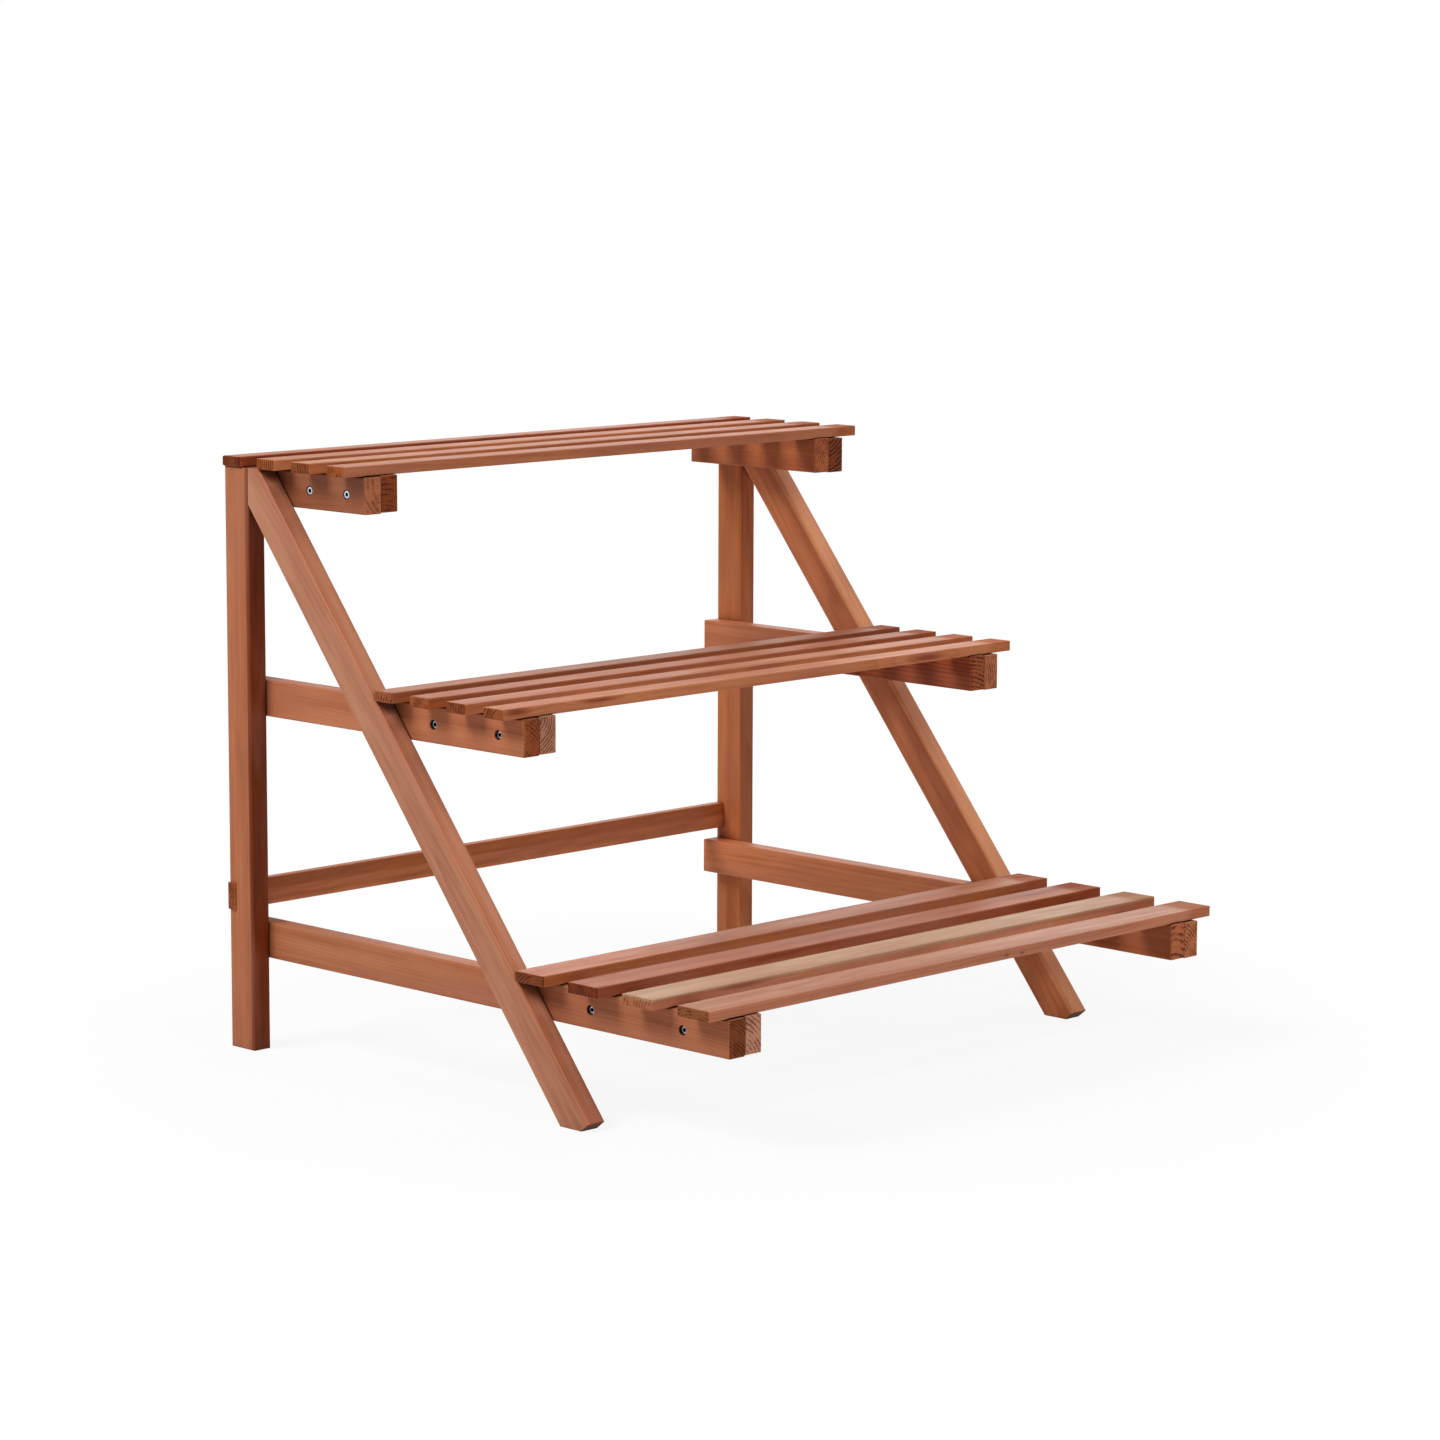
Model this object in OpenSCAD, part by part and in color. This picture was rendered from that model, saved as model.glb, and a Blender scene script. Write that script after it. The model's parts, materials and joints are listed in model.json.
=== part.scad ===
// Plant ladder stand in eased softwood boards. Two side frames, each a post
// with a slanting strut and three rails, carry three slatted trays. A tray is
// four slats on two cleats, and its cleats are bolted to the side rails.
// X runs along the slats, Y to the back and Z up. The origin is on the floor,
// in the middle of the stand's width and depth.

/* [Side frames] */
// Width over the outer faces of the two side frames
frame_w = 886; // [600:1:1200]
// Height of the back posts, up to the undersides of the top slats
post_h = 725; // [660:1:900]
// Depth from the back of the posts to the back edge of the struts' soles
strut_foot = 594; // [550:1:640]
// Height of the slanted joint between the strut and the front of the post
strut_joint_h = 47; // [36:1:70]
// Width of the square-cut strut end that is left where the floor trims it
foot_nose = 16; // [8:1:28]

/* [Boards] */
// Thickness of the posts, struts, rails and cleats
board_t = 26; // [24:1:36]
// Width of the posts, struts, rails and cleats
board_w = 45; // [42:1:56]
// Radius of the eased long edges of those boards
board_ease = 2.5; // [0.5:0.5:4]
// Thickness of the slats and the back rail
slat_t = 13; // [11:0.5:20]
// Width of the slats on the top and middle shelves, and of the back rail
narrow_slat_w = 34; // [30:1:42]
// Width of the slats on the bottom shelf
wide_slat_w = 50; // [40:1:64]
// Radius of the eased long edges of the slats
slat_ease = 1.5; // [0.5:0.5:3]
// Radius of the rounder back edges of the rearmost top slat
back_edge_round = 5; // [1:0.5:5]
// Radius of the eased edges round the ends of the posts, struts, slats and back rail
end_ease = 1.5; // [0.5:0.5:3]
// Radius of the rounder edges at the ends of the rails and cleats
rail_end_round = 2; // [0.5:0.5:6]

/* [Shelves] */
// Number of slats on each shelf
slat_count = 4; // [3:1:5]
// Height of the undersides of the middle slats
middle_shelf_z = 463; // [400:1:520]
// Height of the undersides of the bottom slats
bottom_shelf_z = 160; // [120:1:220]
// Length of the top rails, from the back of the posts
top_reach = 232; // [200:1:300]
// Length of the middle rails, from the back of the posts
middle_reach = 508; // [470:1:600]
// Length of the bottom rails, from the back of the posts
bottom_reach = 843; // [780:1:960]
// How far the slats and the back rail stand out past each side frame
slat_overhang = 3; // [0.5:0.5:20]
// How far the front slat stays behind the front ends of the rails
front_margin = 4; // [0:0.5:15]
// How far the rails' tops lie below the slats, which rest on the cleats
rail_drop = 1; // [0.5:0.5:5]
// Height between the bottom rails and the back rail
back_rail_gap = 15; // [5:1:60]

/* [Bolts] */
// Diameter of the shelf bolts
bolt_d = 6; // [5:0.5:8]
// Diameter of the bolts' socket heads
bolt_head_d = 10; // [9:0.5:11.5]
// Height of the bolts' socket heads
bolt_head_h = 6; // [4:0.5:8]
// Width across the flats of the hexagon sockets
bolt_socket = 5; // [4:0.5:6]
// Depth of the hexagon sockets
bolt_socket_depth = 3; // [2:0.5:4]
// Diameter of the counterbores round the bolt heads
counterbore_d = 12; // [12:0.5:16]
// Depth of the top shelf's bolt heads below the face of the rail
top_bolt_sink = 0.5; // [0:0.5:3]
// Depth of the other bolt heads below the face of the rail
low_bolt_sink = 3; // [0.5:0.5:6]
// Length of the lower bolts inside the cleat
bolt_bite = 13; // [11:0.5:15]
// Outer diameter of the insert nuts
insert_d = 10; // [9.5:0.5:12]
// Length of the insert nuts
insert_l = 13; // [10:0.5:14]
// Distance from the front end of a top rail to its front bolt
top_bolt_setback = 34; // [20:1:50]
// Distance from the front end of a middle rail to its front bolt
middle_bolt_setback = 44; // [20:1:60]
// Distance from the front end of a bottom rail to its front bolt
bottom_bolt_setback = 74; // [20:1:90]
// Distance between the two bolts of a top rail
top_bolt_spacing = 68; // [50:1:80]
// Distance between the two bolts of a middle rail
middle_bolt_spacing = 113; // [80:1:130]
// Distance between the two bolts of a bottom rail
bottom_bolt_spacing = 150; // [100:1:180]

/* [Dowels and screws] */
// Diameter of the frame dowels
dowel_d = 8; // [6:0.5:9]
// Length of the frame dowels
dowel_l = 32; // [24:1:36]
// Distance of each dowel from the middle of its joint, up or down
dowel_offset = 10; // [9:0.5:12]
// Diameter of the wood screws
screw_d = 4; // [3:0.5:5]
// Diameter of the wood screws' heads
screw_head_d = 8; // [7:0.5:9]
// Height of the slat screws' heads
screw_head_h = 3; // [2:0.5:4]
// Diameter of the counterbores under the cleats for the slat screws
screw_bore_d = 9; // [9:0.5:11]
// Depth of the counterbores under the cleats for the slat screws
screw_bore_depth = 15; // [8:1:16]
// Distance from the slat screws to the inner face of the cleat
screw_inset = 7; // [6:0.5:8]
// Slat thickness that is left above the tips of the slat screws
screw_cover = 3; // [2:0.5:6]
// Length of the back rail's screws inside the post
back_screw_bite = 22; // [15:1:26]
// Distance of the back rail's screws from its middle line, up or down
back_screw_offset = 8; // [6:0.5:10]

/* [Fits] */
// Play of the back rail in its notches, above and below
notch_fit = 0.2; // [0.1:0.1:1]
// Gap between the struts and the slats behind which they pass
strut_gap = 0.3; // [0.1:0.1:3]
// Added to the diameter of a dowel's, insert's or screw's hole
hole_fit = 0.1; // [0:0.05:0.3]
// Added to the bolts' diameter inside the insert nuts
thread_fit = 0.1; // [0:0.05:0.3]
// Added to the diameter of a bolt or screw that passes through a board
pass_fit = 0.6; // [0.2:0.1:1]
// Spare depth of each blind hole
blind_room = 1; // [0.5:0.5:1.5]

/* [Hidden] */
$fn = 48;
LEFT = -1;
RIGHT = 1;
TOP = 0;
MIDDLE = 1;
BOTTOM = 2;
SHELVES = [TOP, MIDDLE, BOTTOM];
// Extra length of a cutting shape past the face it opens
overcut = 1;

// Sizes per shelf, from the top one down
shelf_z = [post_h, middle_shelf_z, bottom_shelf_z];
reach = [top_reach, middle_reach, bottom_reach];
slat_w = [narrow_slat_w, narrow_slat_w, wide_slat_w];
bolt_sink = [top_bolt_sink, low_bolt_sink, low_bolt_sink];
bolt_setback = [top_bolt_setback, middle_bolt_setback, bottom_bolt_setback];
bolt_spacing = [top_bolt_spacing, middle_bolt_spacing, bottom_bolt_spacing];

// Faces of the right side frame: outer, between post and rail, rail and cleat
outer_x = frame_w / 2;
rail_x = outer_x - board_t;
cleat_x = rail_x - board_t;
cleat_inner_x = cleat_x - board_t;
slat_l = frame_w + 2 * slat_overhang;
back_y = bottom_reach / 2;
back_rail_z = bottom_shelf_z - rail_drop + back_rail_gap;

strut_angle = atan((post_h - strut_joint_h) / (strut_foot - board_w));
// Length of the strut's end below the point where its back edge meets the floor
strut_trim = (board_w - foot_nose) / tan(strut_angle);

bolt_l = board_t - low_bolt_sink - bolt_head_h + bolt_bite;
slat_screw_l = board_w - screw_bore_depth + slat_t - screw_cover;
slat_screw_x = cleat_inner_x + screw_inset;
back_screw_l = slat_t + back_screw_bite;

frame_color = "#c9744b";
tray_color = "#b8623c";
slat_color = "#dc9268";
zinc_color = "#b9bec4";
brass_color = "#b99a4c";
dowel_color = "#d9b27c";

function slat_names(shelf) = [for (i = [1:slat_count]) str(shelf, "_slat_", i)];

// Depths are measured forward from the back of the posts.
// Depth of the strut's back edge and of its front edge at height z
function strut_back(z) = strut_foot - z / tan(strut_angle);
function strut_front(z) = strut_back(z) + board_w / sin(strut_angle);
// Depth of the strut's middle line at height z, once the post has cut its top
function strut_middle(z) = (max(strut_back(z), board_w) + strut_front(z)) / 2;

function rail_z(shelf) = shelf_z[shelf] - rail_drop - board_w;
function rail_middle_z(shelf) = rail_z(shelf) + board_w / 2;
function cleat_z(shelf) = shelf_z[shelf] - board_w;

// Depth of a shelf's back edge, its front edge and slat i's back edge
function shelf_start(shelf) = shelf == TOP ? 0 : strut_front(shelf_z[shelf]) + strut_gap;
function shelf_end(shelf) = reach[shelf] - front_margin;
function slat_pitch(shelf) =
    (shelf_end(shelf) - slat_w[shelf] - shelf_start(shelf)) / (slat_count - 1);
function slat_depth(shelf, i) = shelf_start(shelf) + (i - 1) * slat_pitch(shelf);

// Depths of a rail's two bolts
function bolt_depths(shelf) =
    [for (k = [0, 1]) reach[shelf] - bolt_setback[shelf] - k * bolt_spacing[shelf]];

// Centres [depth, z] of the dowels between a rail and the post, and the strut
function post_dowels(shelf) =
    [for (s = [-1, 1]) [board_w / 2 + s * dowel_offset, rail_middle_z(shelf) + s * dowel_offset]];
function strut_dowels(shelf) =
    [for (s = [-1, 1]) let (z = rail_middle_z(shelf) + s * dowel_offset) [strut_middle(z), z]];

// Height of a back rail screw, below (-1) or above (1) the rail's middle
function back_screw_z(s) = back_rail_z + narrow_slat_w / 2 + s * back_screw_offset;

// Moves a shape to x, a depth from the back of the posts, and a height
module at(x, depth, z) {
    translate([x, back_y - depth, z]) children();
}

// Shows a shape that is made for the right side frame on the given side
module on_side(side) {
    if (side == LEFT) {
        mirror([1, 0, 0]) children();
    } else {
        children();
    }
}

module on_both_sides() {
    for (side = [LEFT, RIGHT]) on_side(side) children();
}

// Rectangle from the origin with corners of radius r, or far_r at its far end
module eased_rect(w, h, r, far_r) {
    translate([r, 0]) square([w - r - far_r, h]);
    translate([0, r]) square([w / 2, h - 2 * r]);
    translate([w / 2, far_r]) square([w / 2, h - 2 * far_r]);
    for (y = [r, h - r]) translate([r, y]) circle(r = r);
    for (y = [far_r, h - far_r]) translate([w - far_r, y]) circle(r = far_r);
}

// Board of section w by h that stands on the origin, eased along all its edges,
// with radius end_r round both of its ends
module eased_board(w, h, length, r, far_r, end_r) {
    intersection() {
        linear_extrude(length) eased_rect(w, h, r, far_r);
        translate([0, h, 0]) rotate([90, 0, 0])
            linear_extrude(h) eased_rect(w, length, end_r, end_r);
        rotate([90, 0, 90]) linear_extrude(w) eased_rect(h, length, end_r, end_r);
    }
}

// Thick board that stands on the origin, thickness along X
module thick_board(length, end_r) {
    eased_board(board_t, board_w, length, board_ease, board_ease, end_r);
}

// Thick board on edge that runs length forward from the origin
module forward_board(length, end_r) {
    rotate([90, 0, 0]) thick_board(length, end_r);
}

// Slat that runs along X from the origin, with the given depth and height
module slat_board(depth, height, far_r = slat_ease) {
    rotate([90, 0, 90]) eased_board(depth, height, slat_l, slat_ease, far_r, end_ease);
}

// Cylinder from the origin along +X
module x_cylinder(d, length) {
    rotate([0, 90, 0]) cylinder(d = d, h = length);
}

// Holes that both boards of a dowelled joint get, round the joint face at x
module x_dowel_holes(x, centres) {
    hole_l = dowel_l + 2 * blind_room;
    for (c = centres) at(x - hole_l / 2, c[0], c[1]) x_cylinder(dowel_d + hole_fit, hole_l);
}

// Hole along Y between the post's front and the strut's top
module y_dowel_hole() {
    hole_l = dowel_l + 2 * blind_room;
    at(outer_x - board_t / 2, board_w + hole_l / 2, rail_middle_z(TOP))
        rotate([-90, 0, 0]) cylinder(d = dowel_d + hole_fit, h = hole_l);
}

// Head, shank and tip room of one shelf bolt, cut from the rail's outer face
module bolt_holes(shelf) {
    seat = bolt_sink[shelf] + bolt_head_h;
    depth = seat + bolt_l + blind_room;
    for (d = bolt_depths(shelf)) at(rail_x, d, rail_middle_z(shelf)) {
        translate([-depth, 0, 0]) x_cylinder(bolt_d + pass_fit, depth);
        translate([-seat, 0, 0]) x_cylinder(counterbore_d, seat + overcut);
    }
}

module post(side) {
    notch_h = narrow_slat_w + 2 * notch_fit;
    pilot_l = back_screw_l + blind_room;
    color(frame_color) on_side(side) difference() {
        at(rail_x, board_w, 0) thick_board(post_h, end_ease);
        at(rail_x - overcut, slat_t, back_rail_z - notch_fit)
            cube([board_t + 2 * overcut, slat_t + overcut, notch_h]);
        for (shelf = SHELVES) x_dowel_holes(rail_x, post_dowels(shelf));
        y_dowel_hole();
        for (s = [-1, 1]) at(outer_x - board_t / 2, pilot_l, back_screw_z(s))
            rotate([-90, 0, 0]) cylinder(d = screw_d + hole_fit, h = pilot_l);
    }
}

module strut(side) {
    raw_l = strut_trim + (strut_foot - board_w) * cos(strut_angle) + post_h * sin(strut_angle) + board_w;
    clip_l = strut_foot + board_w;
    color(frame_color) on_side(side) difference() {
        intersection() {
            at(rail_x, strut_foot, 0) rotate([strut_angle, 0, 0])
                translate([0, raw_l - strut_trim, 0]) forward_board(raw_l, end_ease);
            at(rail_x, board_w + clip_l, 0) cube([board_t, clip_l, post_h]);
        }
        for (shelf = SHELVES) x_dowel_holes(rail_x, strut_dowels(shelf));
        y_dowel_hole();
    }
}

module rail(shelf, side) {
    color(frame_color) on_side(side) difference() {
        at(cleat_x, 0, rail_z(shelf)) forward_board(reach[shelf], rail_end_round);
        x_dowel_holes(rail_x, post_dowels(shelf));
        x_dowel_holes(rail_x, strut_dowels(shelf));
        bolt_holes(shelf);
    }
}

module cleat(shelf, side) {
    start = shelf_start(shelf);
    color(tray_color) on_side(side) difference() {
        at(cleat_inner_x, start, cleat_z(shelf)) forward_board(reach[shelf] - start, rail_end_round);
        bolt_holes(shelf);
        for (d = bolt_depths(shelf)) at(cleat_x - insert_l, d, rail_middle_z(shelf))
            x_cylinder(insert_d + hole_fit, insert_l + overcut);
        slat_screw_places(shelf) {
            translate([0, 0, -overcut]) cylinder(d = screw_d + pass_fit, h = board_w + 2 * overcut);
            translate([0, 0, -overcut]) cylinder(d = screw_bore_d, h = screw_bore_depth + overcut);
        }
    }
}

// Places of one side's slat screws, at the underside of the cleat
module slat_screw_places(shelf) {
    for (i = [1:slat_count])
        at(slat_screw_x, slat_depth(shelf, i) + slat_w[shelf] / 2, cleat_z(shelf)) children();
}

module slat(shelf, i) {
    far_r = shelf == TOP && i == 1 ? back_edge_round : slat_ease;
    color(slat_color) difference() {
        at(-slat_l / 2, slat_depth(shelf, i) + slat_w[shelf], shelf_z[shelf])
            slat_board(slat_w[shelf], slat_t, far_r);
        on_both_sides() slat_screw_places(shelf) translate([0, 0, board_w - overcut])
            cylinder(d = screw_d + hole_fit, h = slat_t - screw_cover + blind_room + overcut);
    }
}

// Countersunk screw that points along -Y, with its head flush at the origin
module back_screw_shape(grow) {
    cone_l = (screw_head_d - screw_d) / 2;
    rotate([90, 0, 0]) {
        cylinder(d1 = screw_head_d + grow, d2 = screw_d + grow, h = cone_l);
        cylinder(d = screw_d + grow, h = back_screw_l);
    }
}

module back_screw_places() {
    for (s = [-1, 1]) at(outer_x - board_t / 2, 0, back_screw_z(s)) children();
}

module back_rail() {
    color(frame_color) difference() {
        at(-slat_l / 2, slat_t, back_rail_z) slat_board(slat_t, narrow_slat_w);
        on_both_sides() back_screw_places() back_screw_shape(hole_fit);
    }
}

module back_rail_screws() {
    color(zinc_color) on_both_sides() back_screw_places() back_screw_shape(0);
}

// Socket-head bolt along -X, with the seat of its head at the origin
module bolt() {
    chamfer = bolt_head_d / 20;
    rotate([0, 90, 0]) difference() {
        union() {
            rotate_extrude() polygon([
                [0, 0], [bolt_head_d / 2, 0], [bolt_head_d / 2, bolt_head_h - chamfer],
                [bolt_head_d / 2 - chamfer, bolt_head_h], [0, bolt_head_h]
            ]);
            translate([0, 0, -bolt_l]) cylinder(d = bolt_d, h = bolt_l + overcut);
        }
        translate([0, 0, bolt_head_h - bolt_socket_depth])
            cylinder(d = bolt_socket / cos(30), h = bolt_socket_depth + overcut, $fn = 6);
    }
}

module shelf_bolts() {
    color(zinc_color) on_both_sides() for (shelf = SHELVES, d = bolt_depths(shelf))
        at(rail_x - bolt_sink[shelf] - bolt_head_h, d, rail_middle_z(shelf)) bolt();
}

module insert_nuts() {
    color(brass_color) on_both_sides() for (shelf = SHELVES, d = bolt_depths(shelf))
        at(cleat_x - insert_l, d, rail_middle_z(shelf)) difference() {
            x_cylinder(insert_d, insert_l);
            translate([-overcut, 0, 0]) x_cylinder(bolt_d + thread_fit, insert_l + 2 * overcut);
        }
}

// Pan-head wood screw that points up, with the seat of its head at the origin
module slat_screw() {
    dome = screw_head_h / 3;
    tip_l = screw_d;
    rotate_extrude() polygon([
        [0, -screw_head_h], [screw_head_d / 2 - dome, -screw_head_h],
        [screw_head_d / 2, dome - screw_head_h], [screw_head_d / 2, 0], [screw_d / 2, 0],
        [screw_d / 2, slat_screw_l - tip_l], [0, slat_screw_l]
    ]);
}

module slat_screws() {
    color(zinc_color) on_both_sides() for (shelf = SHELVES) slat_screw_places(shelf)
        translate([0, 0, screw_bore_depth]) slat_screw();
}

module frame_dowels() {
    color(dowel_color) on_both_sides() {
        for (shelf = SHELVES, c = concat(post_dowels(shelf), strut_dowels(shelf)))
            at(rail_x - dowel_l / 2, c[0], c[1]) x_cylinder(dowel_d, dowel_l);
        at(outer_x - board_t / 2, board_w + dowel_l / 2, rail_middle_z(TOP))
            rotate([-90, 0, 0]) cylinder(d = dowel_d, h = dowel_l);
    }
}

post(LEFT);  // left_post
post(RIGHT);  // right_post
strut(LEFT);  // left_strut
strut(RIGHT);  // right_strut
back_rail();
rail(TOP, LEFT);  // left_top_rail
rail(MIDDLE, LEFT);  // left_middle_rail
rail(BOTTOM, LEFT);  // left_bottom_rail
rail(TOP, RIGHT);  // right_top_rail
rail(MIDDLE, RIGHT);  // right_middle_rail
rail(BOTTOM, RIGHT);  // right_bottom_rail
cleat(TOP, LEFT);  // left_top_cleat
cleat(MIDDLE, LEFT);  // left_middle_cleat
cleat(BOTTOM, LEFT);  // left_bottom_cleat
cleat(TOP, RIGHT);  // right_top_cleat
cleat(MIDDLE, RIGHT);  // right_middle_cleat
cleat(BOTTOM, RIGHT);  // right_bottom_cleat
for (i = [1:slat_count]) slat(TOP, i);
for (i = [1:slat_count]) slat(MIDDLE, i);
for (i = [1:slat_count]) slat(BOTTOM, i);
shelf_bolts();
insert_nuts();
slat_screws();
frame_dowels();
back_rail_screws();
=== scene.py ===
"""Looks of a wooden plant ladder stand: stained cedar boards, zinc bolts, studio light.

Everything is in metres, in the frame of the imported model: +X along the slats,
+Y to the back posts, +Z up, with the floor at z = 0.
"""

import json
import math
import random
from collections import namedtuple

import bpy
from mathutils import Matrix, Vector


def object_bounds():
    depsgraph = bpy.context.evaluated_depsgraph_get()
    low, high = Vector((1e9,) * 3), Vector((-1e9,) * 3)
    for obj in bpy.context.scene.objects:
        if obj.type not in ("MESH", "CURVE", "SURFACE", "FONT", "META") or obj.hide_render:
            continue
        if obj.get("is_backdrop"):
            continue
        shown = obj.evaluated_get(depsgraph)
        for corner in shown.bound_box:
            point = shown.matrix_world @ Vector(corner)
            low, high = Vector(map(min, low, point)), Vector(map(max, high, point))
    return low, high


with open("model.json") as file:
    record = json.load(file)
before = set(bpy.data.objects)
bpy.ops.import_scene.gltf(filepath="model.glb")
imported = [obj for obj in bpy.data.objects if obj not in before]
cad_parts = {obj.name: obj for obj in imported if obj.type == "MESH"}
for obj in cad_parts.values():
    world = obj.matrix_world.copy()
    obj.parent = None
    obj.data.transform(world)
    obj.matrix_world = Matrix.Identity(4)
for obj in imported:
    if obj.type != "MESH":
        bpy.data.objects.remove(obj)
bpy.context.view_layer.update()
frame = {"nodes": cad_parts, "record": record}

MM = 0.001

# A name that ends in STEP holds a smooth step: a value from its first number to its second
# becomes its third to its fourth.

# The photograph's camera, in degrees, pixels and metres
PHOTO_SIZE_PX = 1440
PHOTO_FOCAL_PX = 4438.8
PHOTO_AZIMUTH = -45.463
PHOTO_ELEVATION = 8.465
PHOTO_ROLL = 0.200
CAMERA_PLACE = (-3.8760, -3.8086, 1.2183)
SENSOR_MM = 36.0

# Softboxes, in metres, and the faint warm light of the room
SOFTBOX_DISTANCE = 8.0
SOFTBOX_SIZE = 3.6
ROOM_COLOUR = (1.0, 0.985, 0.97)
ROOM_STRENGTH = 0.06

# The floor, in metres: the brightness of its paint, which takes the object's shadow, and of its
# plain white, and the share of plain white at a distance from the middle
FLOOR_SIZE = 24
FLOOR_GAP = 0.2 * MM
FLOOR_PAINT = 0.86
FLOOR_WHITE = 1.02
FLOOR_STEP = (0.5, 1.3, 0.88, 1.0)

# Metals: the colour, the roughness, and how bright the dull patches are beside the rest
METALS = {
    "bolt_zinc": ("#D6E2EE", 0.3, 0.8),
    "screw_zinc": ("#B8BDC2", 0.4, 0.7),
    "insert_brass": ("#C2A25A", 0.35, 0.7),
}
DULL_STEP = (0.3, 0.75, 0.0, 1.0)

# The shade in the recesses of a metal piece
RECESS = "#070D15"
RECESS_REACH = 5 * MM
RECESS_STEP = (0.6, 0.92, 0.0, 1.0)

# The dowels' beech, pale with darker flecks
BEECH_PALE = "#DDBB8A"
BEECH_DARK = "#B98F5C"
BEECH_ROUGHNESS = 0.6
FLECK_STEP = (0.35, 0.7, 0.0, 1.0)

# Cedar tones: the pale, main and latewood colours of a board
TONES = {
    "tan": ("#D39068", "#C0744E", "#8A4629"),
    "peach": ("#D19C7C", "#C18364", "#8C4E34"),
    "amber": ("#DF9669", "#CB7B50", "#8E4627"),
    "cream": ("#D8B592", "#C89C79", "#9E6644"),
    "rust": ("#D38A58", "#BE6C3C", "#84401D"),
    "russet": ("#C27649", "#AC5D35", "#6E3016"),
    "honey": ("#E8A67A", "#DE9568", "#B06A40"),
    "walnut": ("#B0603A", "#92431F", "#5C260E"),
    "sienna": ("#C46C40", "#AA4E26", "#6C2C12"),
    "apricot": ("#DC9E7C", "#C87E5C", "#90492E"),
    "umber": ("#944620", "#7E3510", "#4C1C04"),
}

# The noises in a board. Each has its fineness along the board, across it and through it, per
# metre, a shift that sets it apart from the others, its detail and its roughness.
NOISES = {
    "sway": ((5, 28, 28), 0, 2, 0.5),
    "ripple": ((24, 120, 120), 0, 1, 0.5),
    "band": ((0.8, 45, 45), 3, 2, 0.5),
    "drift": ((3, 22, 22), 7, 3, 0.6),
    "cloud": ((14, 55, 55), 11, 3, 0.5),
    "streak": ((1.6, 110, 110), 13, 3, 0.6),
    "fibre": ((18, 800, 800), 19, 2, 0.5),
    "blush": ((5, 30, 30), 29, 2, 0.5),
    "speck": ((0, 420, 420), 37, 2, 0.5),
    "patch": ((0, 70, 70), 41, 3, 0.6),
}

# The largest shift of a board's noises from those of the others
LOG_SPREAD = 50

# Growth rings: the pith's largest slope to the board, the spread of the spacing, how far the
# rings stray, and where in a ring the latewood comes and goes
PITH_SLOPE = 0.035
SPACING_SPREAD = (0.85, 1.15)
RING_SWAY = 4.5 * MM
RING_RIPPLE = 0.5 * MM
LATEWOOD_RISE_STEP = (0.35, 0.85, 0.0, 1.0)
LATEWOOD_FALL_STEP = (0.88, 1.0, 1.0, 0.0)

# The figure of a board's sides: how far the latewood darkens them, the share of latewood that
# leaves the main tone as it is, and how far each noise darkens or lightens them
RING_CONTRAST = 0.22
RING_MIDDLE = 0.3
FIGURE = {"band": 0.55, "drift": 0.60, "cloud": 0.35, "streak": 0.55, "fibre": 0.16}

# Marks: how far they bend the rings, out to how many times their own size, and how dark they are
MARK_BEND = 9 * MM
MARK_BEND_REACH = 2.2
MARK_DARKNESS = 1.1

# Pink clouds in the heartwood
BLUSH = "#AC6A52"
BLUSH_STEP = (0.42, 0.66, 0.0, 0.35)

# Skins of another tone on one side of a board, partly the wood's own tone and partly painted light
# and shade on that side: the noise that makes their depth uneven, how far it does, and the stretch
# about their depth over which they fade in, outwards
LAYER_NOISE = (3, 60, 60)
LAYER_SEED = (31, 4, 9)
LAYER_STRAY = 3 * MM
LAYER_FADE = (-2 * MM, 1 * MM)

# Sawn ends: the powers of a look's end that tint red, green and blue, the brightness of the
# latewood, the contrast of the rings and of the noises, and how far these break up the rings
END_TINT_POWERS = (0.75, 1.05, 1.6)
END_LATEWOOD = 0.7
END_RING_CONTRAST = 1.3
END_PATCH_CONTRAST = 0.9
END_SPECK_CONTRAST = 0.5
END_PATCH_STEP = (0.4, 0.55, 0.25, 1.0)
END_SPECK_STEP = (0.35, 0.6, 0.45, 1.3)
END_FACE_STEP = (0.55, 0.85, 0.0, 1.0)

# The arrises, paler partly from sanding wear and partly as painted highlight: by the distance from
# them, and how unevenly they are
ARRIS_STEP = (0.5 * MM, 3.0 * MM, 1.0, 0.0)
WORN_AND_HIGHLIT_STEP = (0.35, 0.7, 0.02, 0.22)

# The right ends of the slats, rougher and darkened with painted shade where their sheen fades, by
# the distance from the end, which a noise shifts
END_SHADE_TINT = (0.88, 0.76, 0.68)
ROUGH_SHADED_STRAY = 14 * MM
ROUGH_SHADED_END_STEP = (28 * MM, 50 * MM, 1.0, 0.0)

# Painted shade in the corners and gaps where boards meet: its reach in wide and in narrow gaps,
# and how much of that in narrow gaps a board's broad sides are spared. Crevices are found from a
# few samples.
CREVICE_SHADE = "#1E0A04"
WIDE_GAP_REACH = 35 * MM
WIDE_GAP_STEP = (0.15, 0.6, 0.3, 1.0)
NARROW_GAP_REACH = 3 * MM
NARROW_GAP_STEP = (0.35, 0.85, 0.0, 1.0)
BROAD_FACE_STEP = (0.8, 0.98, 0.0, 1.0)
BROAD_FACE_SPARED = 0.4
CREVICE_SAMPLES = 6

# The gloss of the wood: its roughness, what each noise and the ends add, and its reflection
WOOD_ROUGHNESS = 0.5
FIBRE_ROUGHNESS = 0.06
CLOUD_ROUGHNESS = 0.08
END_ROUGHNESS = 0.2
ROUGH_END_ROUGHNESS = 0.25
WOOD_SPECULAR = 0.15

# The relief of the wood: its strength and height, and the share of each part of the figure
RELIEF_STRENGTH = 0.25
RELIEF_HEIGHT = 0.1 * MM
RING_RELIEF = -0.4
FIBRE_RELIEF = 0.4
STREAK_RELIEF = 0.5
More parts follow.
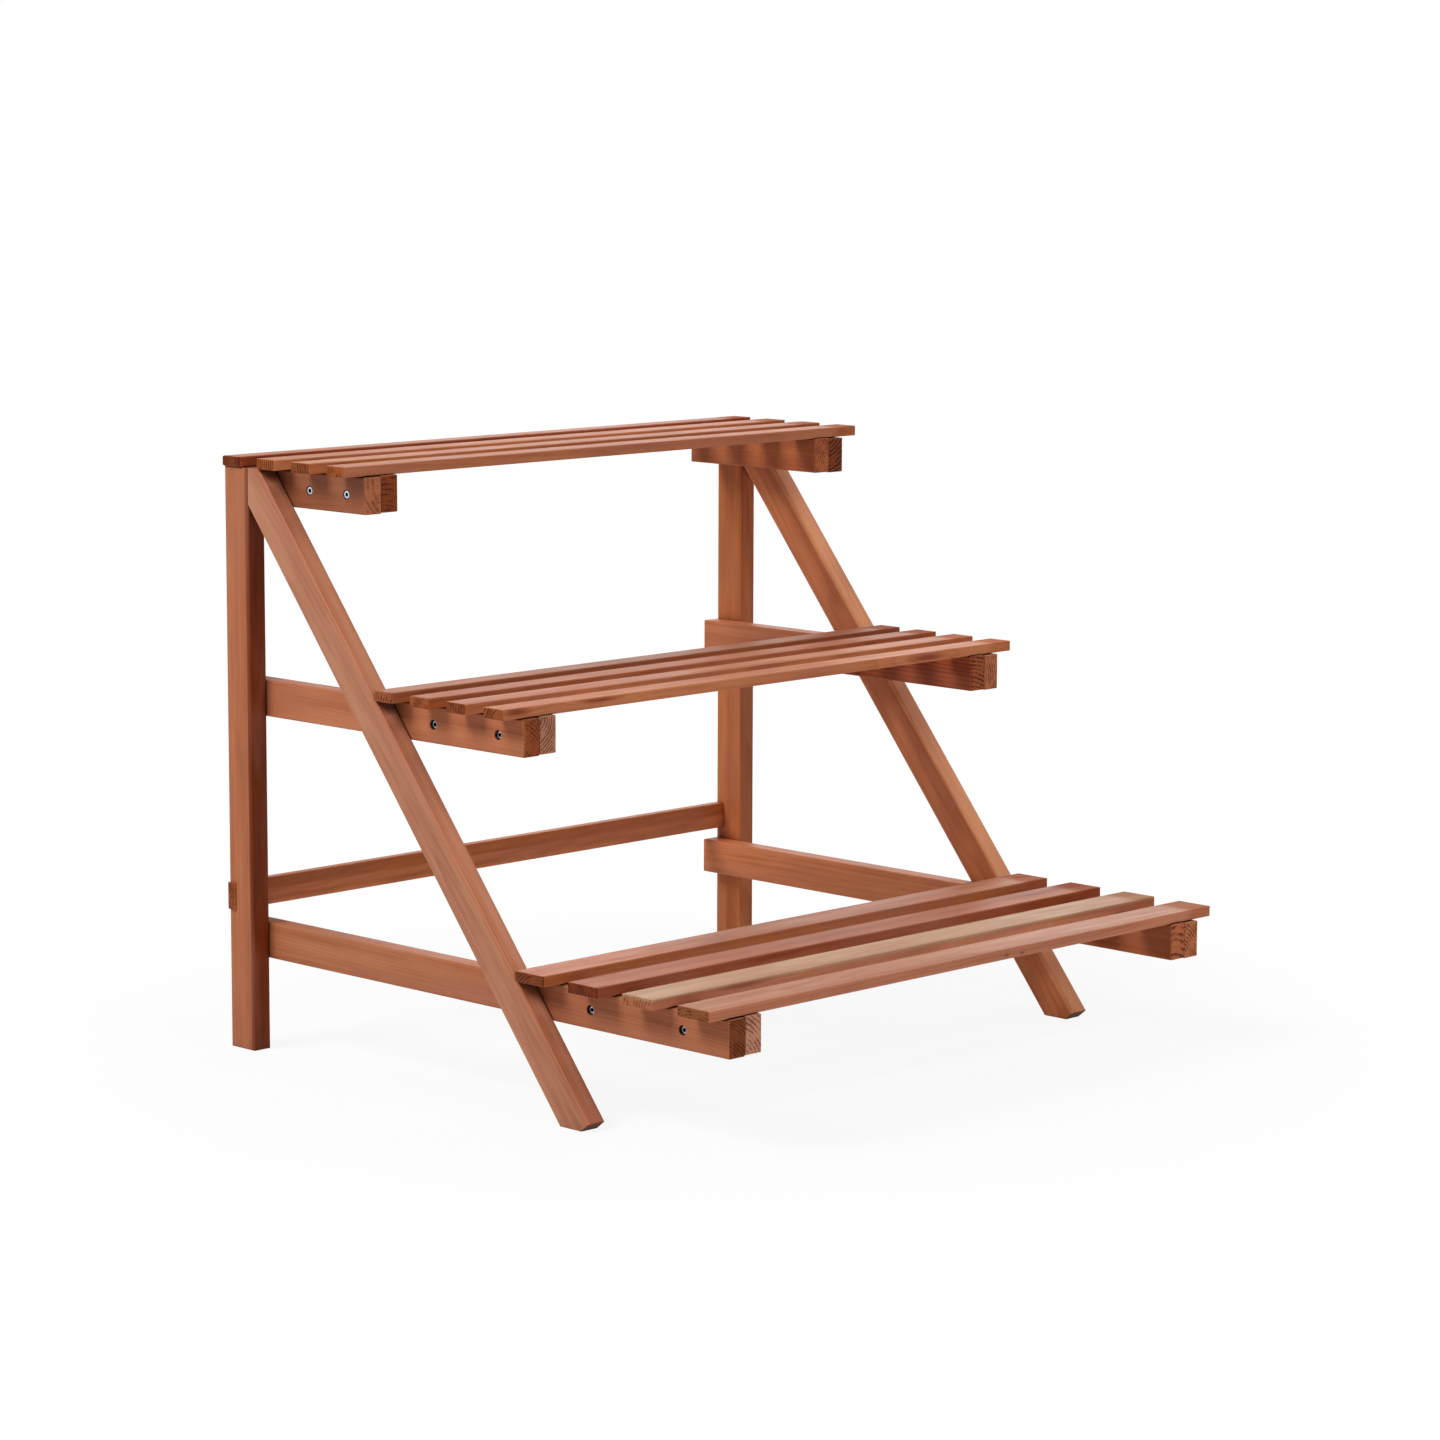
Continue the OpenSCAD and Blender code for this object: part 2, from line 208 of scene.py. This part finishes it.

# What sets one board apart from the next. The pith is the middle of the log, given by its
# distance in millimetres and its direction in degrees from the board's wide axis to its
# thin one. Ring is the contrast of the rings, and spacing their distance in millimetres. End
# and shade are the brightness of the sawn ends and of the sides; the shade is partly the board's
# own tone and partly painted light and shade for how brightly it is lit. A layer is a skin of
# another tone on one side, with its depth in millimetres, partly the wood's own tone and partly
# painted light and shade on that side. A mark is a pin knot or a dark streak: its place from the
# board's centre and its radius, in millimetres, and how many times longer than wide it is. A
# board with a rough end has it at the right, darkened there with painted shade.
Look = namedtuple(
    "Look",
    "tone pith ring spacing end layer marks shade rough_end",
    defaults=(1.0, 4.0, 0.5, None, (), 1.0, False),
)

BOARD_LOOKS = {
    "left_post": Look("tan", pith=(70, 8), layer=("-Y", 5, "umber"), shade=0.96),
    "right_post": Look("rust", pith=(60, 175), ring=1.6, shade=1.04),
    "left_strut": Look("peach", pith=(45, 100), ring=0.7, layer=("-Y", 4, "apricot"), shade=1.01),
    "right_strut": Look("amber", pith=(90, 80), layer=("-Y", 4, "honey"), shade=1.22),
    "back_rail": Look("amber", pith=(60, 70), ring=0.7, layer=("+Z", 14, "rust"), shade=1.15),
    "left_top_rail": Look("tan", pith=(38, 250), ring=0.35, spacing=6, end=1.02, shade=0.67),
    "left_middle_rail": Look("russet", pith=(45, 40), ring=0.6, end=0.76, layer=("-X", 3, "tan")),
    "left_bottom_rail": Look("tan", pith=(40, 42), end=0.31, shade=0.91),
    "left_top_cleat": Look("russet", pith=(60, 8), ring=0.7, spacing=6, end=0.55),
    "left_middle_cleat": Look("peach", pith=(35, 135), ring=1.4, end=1.06),
    "left_bottom_cleat": Look("peach", pith=(70, 40), spacing=5.5, end=1.2),
    "right_top_rail": Look("russet", pith=(60, 150), ring=2.6, spacing=6, end=0.50),
    "right_middle_rail": Look("tan", pith=(60, 80), ring=0.5, end=1.0, shade=1.12),
    "right_bottom_rail": Look("amber", pith=(70, 60), end=0.9, shade=1.12),
    "right_top_cleat": Look("russet", pith=(60, 60), ring=0.7, end=1.2, shade=0.97),
    "right_middle_cleat": Look(
        "russet",
        pith=(48, 22),
        ring=3.0,
        spacing=6.5,
        end=0.87,
        layer=("-X", 3, "sienna"),
        shade=0.84,
    ),
    "right_bottom_cleat": Look("russet", pith=(55, 5), spacing=8, end=1.38, shade=0.86),
    "top_slat_1": Look("tan", pith=(60, 10), end=0.24, layer=("-Y", 3, "sienna"), shade=0.92),
    "top_slat_2": Look("rust", pith=(60, 5), end=0.62, layer=("-Y", 3, "amber"), shade=0.96),
    "top_slat_3": Look("tan", pith=(60, 175), end=0.42, layer=("-Y", 3, "rust")),
    "top_slat_4": Look(
        "rust",
        pith=(55, 10),
        end=0.64,
        layer=("-Y", 3, "tan"),
        marks=((436, 12, 3, 9, 2),),
        shade=0.95,
    ),
    "middle_slat_1": Look("tan", pith=(60, 12), end=0.65, layer=("-Y", 3, "russet"), shade=0.79),
    "middle_slat_2": Look("russet", pith=(50, 172), end=0.82, shade=1.02),
    "middle_slat_3": Look("tan", pith=(60, 8), end=0.35, layer=("-Y", 3, "amber")),
    "middle_slat_4": Look(
        "amber",
        pith=(60, 10),
        end=0.44,
        marks=((-425, -17, 2, 9, 4), (-290, -17, 3, 6, 9), (283, -17, 0, 7, 7)),
    ),
    "bottom_slat_1": Look("apricot", pith=(60, 80), end=0.28, layer=("-Y", 3, "russet")),
    "bottom_slat_2": Look("russet", pith=(60, 12), end=0.34, layer=("-Y", 3, "walnut"), shade=1.02),
    "bottom_slat_3": Look(
        "apricot",
        pith=(70, 8),
        ring=0.5,
        end=0.74,
        layer=("+Z", 3, "cream"),
        marks=((-300, -25, 2, 5, 12),),
    ),
    "bottom_slat_4": Look(
        "peach",
        pith=(60, 95),
        end=0.40,
        layer=("-Y", 3, "apricot"),
        marks=((58, -25, -1, 3, 2), (86, -25, -2, 3, 2)),
    ),
}


def rgba(red, green, blue):
    return (red, green, blue, 1.0)


def grey(value):
    """Equal red, green and blue."""
    return [value] * 3


def linear(code):
    """A colour such as "#B57A58" as linear red, green and blue."""
    parts = [int(code[i : i + 2], 16) / 255 for i in (1, 3, 5)]
    return [p / 12.92 if p <= 0.04045 else ((p + 0.055) / 1.055) ** 2.4 for p in parts]


def paint(code):
    """A colour such as "#B57A58" as a shader node takes it."""
    return rgba(*linear(code))


class Graph:
    """Adds nodes to one node tree and links them."""

    def __init__(self, owner):
        owner.use_nodes = True
        self.tree = owner.node_tree
        self.tree.nodes.clear()

    def node(self, kind, inputs=None, **settings):
        made = self.tree.nodes.new(kind)
        for name, value in settings.items():
            setattr(made, name, value)
        for key, value in (inputs or {}).items():
            self.put(made.inputs[key], value)
        return made

    def put(self, socket, value):
        if isinstance(value, bpy.types.NodeSocket):
            self.tree.links.new(value, socket)
        elif value is not None:
            socket.default_value = value

    def math(self, operation, a, b=None, c=None, clamp=False):
        inputs = {0: a, 1: b, 2: c}
        made = self.node("ShaderNodeMath", inputs, operation=operation, use_clamp=clamp)
        return made.outputs[0]

    def vector(self, operation, a, b=None):
        made = self.node("ShaderNodeVectorMath", {0: a, 1: b}, operation=operation)
        return made.outputs["Value" if operation in ("DOT_PRODUCT", "LENGTH") else "Vector"]

    def clamped(self, value):
        """value, held between 0 and 1."""
        return self.math("ADD", value, 0.0, clamp=True)

    def total(self, first, *others):
        for other in others:
            first = self.math("ADD", first, other)
        return first

    def ramp(self, value, low, high, to_low=0.0, to_high=1.0):
        """value from low to high becomes to_low to to_high in a smooth step, held beyond them."""
        inputs = {"Value": value, "From Min": low, "From Max": high}
        inputs |= {"To Min": to_low, "To Max": to_high}
        made = self.node("ShaderNodeMapRange", inputs, interpolation_type="SMOOTHSTEP")
        return made.outputs["Result"]

    def mix(self, factor, a, b, blend="MIX"):
        made = self.node("ShaderNodeMix", data_type="RGBA", blend_type=blend)
        self.put(made.inputs[0], factor)
        self.put(made.inputs[6], a)
        self.put(made.inputs[7], b)
        return made.outputs[2]

    def tint(self, colour, red, green, blue):
        return self.mix(1.0, colour, rgba(red, green, blue), blend="MULTIPLY")

    def noise(self, place, stretch, seed, detail=2.0, roughness=0.5):
        """Smooth noise from about 0 to 1, with its fineness set by stretch, per metre."""
        scaled = self.vector("MULTIPLY", place, stretch)
        moved = self.vector("ADD", scaled, seed)
        inputs = {"Vector": moved, "Scale": 1.0, "Detail": detail, "Roughness": roughness}
        return self.node("ShaderNodeTexNoise", inputs).outputs["Fac"]

    def swing(self, value, amount):
        """Noise about 0.5 as a change of up to amount each way."""
        return self.math("MULTIPLY", self.math("SUBTRACT", value, 0.5), 2 * amount)

    def coordinate(self, name):
        return self.node("ShaderNodeTexCoord").outputs[name]

    def join(self, x, y, z):
        return self.node("ShaderNodeCombineXYZ", {0: x, 1: y, 2: z}).outputs[0]

    def crevice(self, reach):
        """1 in the open, and less where another surface stands within reach."""
        made = self.node("ShaderNodeAmbientOcclusion", {"Distance": reach}, samples=CREVICE_SAMPLES)
        return made.outputs["AO"]

    def relief(self, height, strength, distance):
        """The surface's normal, as a height bumps it: a height of 1 stands for distance."""
        inputs = {"Strength": strength, "Distance": distance, "Height": height}
        return self.node("ShaderNodeBump", inputs).outputs["Normal"]

    def surface(self, colour, roughness, normal):
        """Ends the tree in a principled shader, which is returned for its other settings."""
        inputs = {"Base Color": colour, "Roughness": roughness, "Normal": normal}
        shader = self.node("ShaderNodeBsdfPrincipled", inputs)
        self.node("ShaderNodeOutputMaterial", {"Surface": shader.outputs[0]})
        return shader


class Board:
    """The length, width and thickness axes of a board's CAD node, its centre and half sizes."""

    # The least cosine of sides that count as parallel, and the largest of ones that are square
    PARALLEL = 0.999
    SQUARE = 0.01

    def __init__(self, piece):
        sides = []
        for face in sorted(piece.data.polygons, key=lambda face: -face.area):
            for side in sides:
                if abs(side[1].dot(face.normal)) > self.PARALLEL:
                    side[0] += face.area
                    break
            else:
                sides.append([face.area, face.normal.copy()])
        sides.sort(key=lambda side: -side[0])
        thin = sides[0][1]
        wide = next(normal for area, normal in sides if abs(normal.dot(thin)) < self.SQUARE)
        self.axes = [self.forward(axis) for axis in (thin.cross(wide), wide, thin)]
        self.centre = Vector((0, 0, 0))
        self.half = []
        for axis in self.axes:
            places = [vertex.co.dot(axis) for vertex in piece.data.vertices]
            self.centre += axis * (min(places) + max(places)) / 2
            self.half.append((max(places) - min(places)) / 2)

    @staticmethod
    def forward(axis):
        """The axis as a unit vector whose largest part is positive."""
        return axis.normalized() * math.copysign(1, max(axis, key=abs))


class Cedar:
    """Stained cedar cut from its own place in a log, with rings that run through to the ends."""

    def __init__(self, name, board, look, seed):
        draw = random.Random(seed)
        self.material = bpy.data.materials.new(name)
        self.g = Graph(self.material)
        self.board = board
        self.look = look

        # Place in the board: along the grain, across its width and through it
        inside = self.g.vector("SUBTRACT", self.g.coordinate("Object"), board.centre)
        self.parts = [self.g.vector("DOT_PRODUCT", inside, axis) for axis in board.axes]
        self.place = self.g.join(*self.parts)

        offset = [draw.uniform(-LOG_SPREAD, LOG_SPREAD) for _ in range(3)]
        self.noises = {}
        for noise, (stretch, shift, detail, roughness) in NOISES.items():
            moved = [part + shift for part in offset]
            self.noises[noise] = self.g.noise(self.place, stretch, moved, detail, roughness)
        self.ring = self.growth_rings(draw)
        self.tones = self.layered_tones()
        self.build_surface()

    def growth_rings(self, draw):
        """Latewood from 0 to 1, in rings round a pith that leans a little from the grain."""
        g, look = self.g, self.look
        along, across, through = self.parts
        distance, turn = look.pith[0] * MM, math.radians(look.pith[1])
        slopes = [draw.uniform(-PITH_SLOPE, PITH_SLOPE) for _ in range(2)]
        spacing = look.spacing * draw.uniform(*SPACING_SPREAD) * MM
        pith_across = g.math("MULTIPLY_ADD", along, slopes[0], distance * math.cos(turn))
        pith_through = g.math("MULTIPLY_ADD", along, slopes[1], distance * math.sin(turn))
        from_pith = [g.math("ADD", across, pith_across), g.math("ADD", through, pith_through), 0]
        sway = g.swing(self.noises["sway"], RING_SWAY)
        ripple = g.swing(self.noises["ripple"], RING_RIPPLE)
        radius = g.total(g.vector("LENGTH", g.join(*from_pith)), sway, ripple)
        for mark in look.marks:
            bend = self.mark_share(mark, MARK_BEND_REACH)
            radius = g.math("MULTIPLY_ADD", bend, MARK_BEND, radius)
        phase = g.math("FRACT", g.math("DIVIDE", radius, spacing))
        rise = g.ramp(phase, *LATEWOOD_RISE_STEP)
        return g.math("MULTIPLY", rise, g.ramp(phase, *LATEWOOD_FALL_STEP))

    def mark_share(self, mark, grow=1.0):
        """1 at the centre of a knot or streak and 0 beyond its size times grow."""
        along, across, through, size, length = mark
        away = self.g.vector("SUBTRACT", self.place, (along * MM, across * MM, through * MM))
        scaled = self.g.vector("MULTIPLY", away, (1 / length, 1, 1))
        return self.g.ramp(self.g.vector("LENGTH", scaled), 0.0, grow * size * MM, 1.0, 0.0)

    def layered_tones(self):
        """The pale, main and latewood colours, with the look's layer over them, partly painted
        light and shade.
        """
        tones = [paint(code) for code in TONES[self.look.tone]]
        if not self.look.layer:
            return tones
        side, depth, tone = self.look.layer
        # The layer's tone is partly the wood's own and partly painted light and shade on that side.
        share = self.layer_share(side, depth)
        return [self.g.mix(share, a, paint(code)) for a, code in zip(tones, TONES[tone])]

    def layer_share(self, side, depth):
        """1 in the skin of the board on one side, such as "-Y", and 0 deeper than its depth."""
        g = self.g
        axis = Vector([float(side[1] == letter) for letter in "XYZ"])
        index = max(range(3), key=lambda i: abs(self.board.axes[i].dot(axis)))
        outwards = self.parts[index]
        if side[0] == "-":
            outwards = g.math("MULTIPLY", outwards, -1.0)
        stray = g.swing(g.noise(self.place, LAYER_NOISE, LAYER_SEED), LAYER_STRAY)
        inner = self.board.half[index] - depth * MM
        return g.ramp(g.math("ADD", outwards, stray), *[inner + fade for fade in LAYER_FADE])

    def side_colour(self):
        """Rings, slow changes of tone, long streaks, fine fibres, dark marks and a pink blush."""
        g = self.g
        pale, main, late = self.tones
        ring = g.math("SUBTRACT", self.ring, RING_MIDDLE)
        figure = g.math("MULTIPLY", ring, RING_CONTRAST * self.look.ring)
        for noise, amount in FIGURE.items():
            figure = g.math("ADD", figure, g.swing(self.noises[noise], amount))
        for mark in self.look.marks:
            figure = g.math("MULTIPLY_ADD", self.mark_share(mark), MARK_DARKNESS, figure)
        colour = g.mix(g.math("MULTIPLY", figure, -1.0, clamp=True), main, pale)
        colour = g.mix(g.clamped(figure), colour, late)
        blush = g.ramp(self.noises["blush"], *BLUSH_STEP)
        colour = g.mix(blush, colour, paint(BLUSH))
        # The shade is partly the board's own tone and partly painted light and shade for how it is
        # lit.
        return g.tint(colour, *grey(self.look.shade))

    def end_colour(self):
        """Sawn ends drink more stain: they are darker, and their broken rings stand out."""
        g = self.g
        _, main, late = self.tones
        speck, patch = self.noises["speck"], self.noises["patch"]
        pores = g.math("MULTIPLY", g.ramp(speck, *END_SPECK_STEP), g.ramp(patch, *END_PATCH_STEP))
        broken = g.math("MULTIPLY", self.ring, pores)
        figure = g.total(
            g.math("MULTIPLY", broken, END_RING_CONTRAST * self.look.ring),
            g.swing(patch, END_PATCH_CONTRAST),
            g.swing(speck, END_SPECK_CONTRAST),
        )
        colour = g.mix(g.clamped(figure), main, g.tint(late, *grey(END_LATEWOOD)))
        return g.tint(colour, *[self.look.end**power for power in END_TINT_POWERS])

    def facing(self, axis, step):
        """1 on the faces that lie square to one of the board's axes, and 0 on the others."""
        share = self.g.vector("DOT_PRODUCT", self.g.coordinate("Normal"), axis)
        return self.g.ramp(self.g.math("ABSOLUTE", share), *step)

    def worn_and_highlit(self, colour):
        """Arrises are a little paler, and unevenly so: partly sanding wear, partly painted
        highlight.
        """
        g = self.g
        pale = self.tones[0]
        gaps = []
        for part, half in zip(self.parts[1:], self.board.half[1:]):
            gaps.append(g.math("SUBTRACT", half, g.math("ABSOLUTE", part)))
        arris = g.ramp(g.math("ADD", *gaps), *ARRIS_STEP)
        amount = g.ramp(self.noises["cloud"], *WORN_AND_HIGHLIT_STEP)
        # Painted highlight and sanding wear: the arrises turn towards the pale tone.
        return g.mix(g.math("MULTIPLY", arris, amount), colour, pale)

    def rough_shaded_end_share(self):
        """1 at the right end of a slat, which is rougher and darkened with painted shade, and 0
        further in.
        """
        g = self.g
        inwards = g.math("SUBTRACT", self.board.half[0], self.parts[0])
        stray = g.swing(self.noises["streak"], ROUGH_SHADED_STRAY)
        return g.ramp(g.math("ADD", inwards, stray), *ROUGH_SHADED_END_STEP)

    def with_crevice_shade(self, colour):
        """Painted shade darkens the corners and gaps where the boards meet, least on a board's
        broad sides.
        """
        g = self.g
        thin = self.board.axes[2]
        # Painted shade: the colour turns to dark brown in corners and in narrow gaps between
        # boards.
        unshaded = g.ramp(g.crevice(WIDE_GAP_REACH), *WIDE_GAP_STEP)
        colour = g.mix(unshaded, paint(CREVICE_SHADE), colour)
        unshaded = g.ramp(g.crevice(NARROW_GAP_REACH), *NARROW_GAP_STEP)
        broad = self.facing(thin, BROAD_FACE_STEP)
        unshaded = g.math("MULTIPLY_ADD", broad, BROAD_FACE_SPARED, unshaded, clamp=True)
        return g.mix(unshaded, paint(CREVICE_SHADE), colour)

    def build_surface(self):
        """Joins the sides and ends, adds the wear and painted highlight of the arrises, painted
        shade and the relief, and ends the node tree.
        """
        g = self.g
        fibre = self.noises["fibre"]
        is_end = self.facing(self.board.axes[0], END_FACE_STEP)
        colour = self.worn_and_highlit(g.mix(is_end, self.side_colour(), self.end_colour()))
        rough = g.total(
            WOOD_ROUGHNESS,
            g.swing(fibre, FIBRE_ROUGHNESS),
            g.swing(self.noises["cloud"], CLOUD_ROUGHNESS),
            g.math("MULTIPLY", is_end, END_ROUGHNESS),
        )
        if self.look.rough_end:
            # Painted shade darkens the right end of a slat, where its sheen fades; the end is also
            # rougher.
            share = self.rough_shaded_end_share()
            colour = g.mix(share, colour, g.tint(colour, *END_SHADE_TINT))
            rough = g.math("MULTIPLY_ADD", share, ROUGH_END_ROUGHNESS, rough)
        height = g.total(
            g.math("MULTIPLY", self.ring, RING_RELIEF),
            g.swing(fibre, FIBRE_RELIEF),
            g.swing(self.noises["streak"], STREAK_RELIEF),
        )
        normal = g.relief(height, RELIEF_STRENGTH, RELIEF_HEIGHT)
        # The colour carries painted shade in its corners and gaps.
        shader = g.surface(self.with_crevice_shade(colour), rough, normal)
        shader.inputs["Specular IOR Level"].default_value = WOOD_SPECULAR


def plated_metal(name):
    """Plated metal with faint cloudy patches, fine scratches and darker recesses."""
    code, roughness, dullness = METALS[name]
    material = bpy.data.materials.new(name)
    g = Graph(material)
    point = g.coordinate("Object")
    cloud = g.noise(point, (400, 400, 400), (3, 5, 7), detail=3)
    scratch = g.noise(point, (900, 4200, 4200), (11, 2, 9), detail=1)
    dull = rgba(*[dullness * part for part in linear(code)])
    base = g.mix(g.ramp(cloud, *DULL_STEP), paint(code), dull)
    base = g.mix(g.ramp(g.crevice(RECESS_REACH), *RECESS_STEP), paint(RECESS), base)
    rough = g.total(roughness, g.swing(cloud, 0.1), g.swing(scratch, 0.05))
    shader = g.surface(base, rough, g.relief(scratch, strength=0.2, distance=0.03 * MM))
    shader.inputs["Metallic"].default_value = 1.0
    return material


def beech(name):
    """Plain turned dowel wood with short flecks."""
    material = bpy.data.materials.new(name)
    g = Graph(material)
    fleck = g.noise(g.coordinate("Object"), (120, 1500, 1500), (4, 8, 15))
    base = g.mix(g.ramp(fleck, *FLECK_STEP), paint(BEECH_PALE), paint(BEECH_DARK))
    rough = g.total(BEECH_ROUGHNESS, g.swing(fleck, 0.1))
    g.surface(base, rough, g.relief(fleck, strength=0.3, distance=0.05 * MM))
    return material


def dress(piece, material):
    """Gives a CAD piece its one material."""
    piece.data.materials.clear()
    piece.data.materials.append(material)


def dress_boards():
    """Each board has its own cedar. Only the slats have a rougher right end, darkened with painted
    shade.
    """
    wooden = ("frame_wood", "cleat_wood", "slat_wood")
    for seed, part in enumerate(frame["record"]["subparts"]):
        node, slot = part["node"], part["material_slot"]
        if slot in wooden:
            piece = frame["nodes"][node]
            look = BOARD_LOOKS[node]._replace(rough_end="slat" in node)
            dress(piece, Cedar("cedar_" + node, Board(piece), look, seed).material)


def dress_hardware():
    bolt_zinc = plated_metal("bolt_zinc")
    screw_zinc = plated_metal("screw_zinc")
    dress(frame["nodes"]["shelf_bolts"], bolt_zinc)
    dress(frame["nodes"]["slat_screws"], screw_zinc)
    dress(frame["nodes"]["back_rail_screws"], screw_zinc)
    dress(frame["nodes"]["insert_nuts"], plated_metal("insert_brass"))
    dress(frame["nodes"]["frame_dowels"], beech("dowel_beech"))


def background_share(g):
    """1 for rays that should meet the plain white background, 0 for those that carry light."""
    path = g.node("ShaderNodeLightPath")
    seen = g.math("MAXIMUM", path.outputs["Is Camera Ray"], path.outputs["Is Glossy Ray"])
    return g.math("MAXIMUM", seen, path.outputs["Is Transmission Ray"])


def add_floor():
    """White floor that keeps the object's shadow, and turns plain white away from it."""
    bpy.ops.mesh.primitive_plane_add(size=FLOOR_SIZE, location=(0, 0, -FLOOR_GAP))
    floor = bpy.context.object
    floor.name = "floor"
    material = bpy.data.materials.new("floor_white")
    g = Graph(material)
    matt = g.node("ShaderNodeBsdfDiffuse", {"Color": rgba(*grey(FLOOR_PAINT))})
    glow = g.node("ShaderNodeEmission", {"Color": rgba(*grey(1)), "Strength": FLOOR_WHITE})
    away = g.vector("LENGTH", g.coordinate("Object"))
    share = g.math("MULTIPLY", background_share(g), g.ramp(away, *FLOOR_STEP))
    both = g.node("ShaderNodeMixShader", {0: share, 1: matt.outputs[0], 2: glow.outputs[0]})
    g.node("ShaderNodeOutputMaterial", {"Surface": both.outputs[0]})
    floor.data.materials.append(material)
    floor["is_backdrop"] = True


def add_world():
    """A faint warm room for the light, and plain white behind the object."""
    world = bpy.data.worlds.new("studio")
    bpy.context.scene.world = world
    g = Graph(world)
    room_inputs = {"Color": rgba(*ROOM_COLOUR), "Strength": ROOM_STRENGTH}
    room = g.node("ShaderNodeBackground", room_inputs)
    white = g.node("ShaderNodeBackground", {"Color": rgba(*grey(1)), "Strength": 1.0})
    share = background_share(g)
    both = g.node("ShaderNodeMixShader", {0: share, 1: room.outputs[0], 2: white.outputs[0]})
    g.node("ShaderNodeOutputWorld", {"Surface": both.outputs[0]})


def add_softbox(name, azimuth, elevation, power):
    """Square lamp far from the object: azimuth 0 is in front, and 90 at its right."""
    turn, rise = math.radians(azimuth), math.radians(elevation)
    level = math.cos(rise)
    away = Vector((math.sin(turn) * level, -math.cos(turn) * level, math.sin(rise)))
    low, high = [Vector(corner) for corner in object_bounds()]
    lamp = bpy.data.lights.new(name, "AREA")
    lamp.shape = "SQUARE"
    lamp.size = SOFTBOX_SIZE
    lamp.energy = power
    holder = bpy.data.objects.new(name, lamp)
    bpy.context.scene.collection.objects.link(holder)
    holder.location = away * SOFTBOX_DISTANCE + low.lerp(high, 0.5)
    holder.rotation_euler = away.to_track_quat("Z", "Y").to_euler()
    holder.visible_camera = False


def add_lights():
    add_world()
    add_softbox("key_left", azimuth=-106, elevation=45, power=430)
    add_softbox("front", azimuth=0, elevation=33, power=213)
    add_softbox("right", azimuth=90, elevation=30, power=110)
    add_softbox("back_right", azimuth=130, elevation=18, power=60)


def add_camera():
    data = bpy.data.cameras.new("photo_camera")
    data.sensor_width = SENSOR_MM
    data.lens = PHOTO_FOCAL_PX / PHOTO_SIZE_PX * SENSOR_MM
    holder = bpy.data.objects.new("photo_camera", data)
    bpy.context.scene.collection.objects.link(holder)
    turn = Matrix.Rotation(math.radians(PHOTO_AZIMUTH), 4, "Z")
    tilt = Matrix.Rotation(math.radians(90 - PHOTO_ELEVATION), 4, "X")
    roll = Matrix.Rotation(math.radians(PHOTO_ROLL), 4, "Z")
    holder.matrix_world = Matrix.Translation(CAMERA_PLACE) @ turn @ tilt @ roll
    bpy.context.scene.camera = holder


add_camera()
dress_boards()
dress_hardware()
add_floor()
add_lights()
bpy.context.scene.view_settings.view_transform = "Standard"
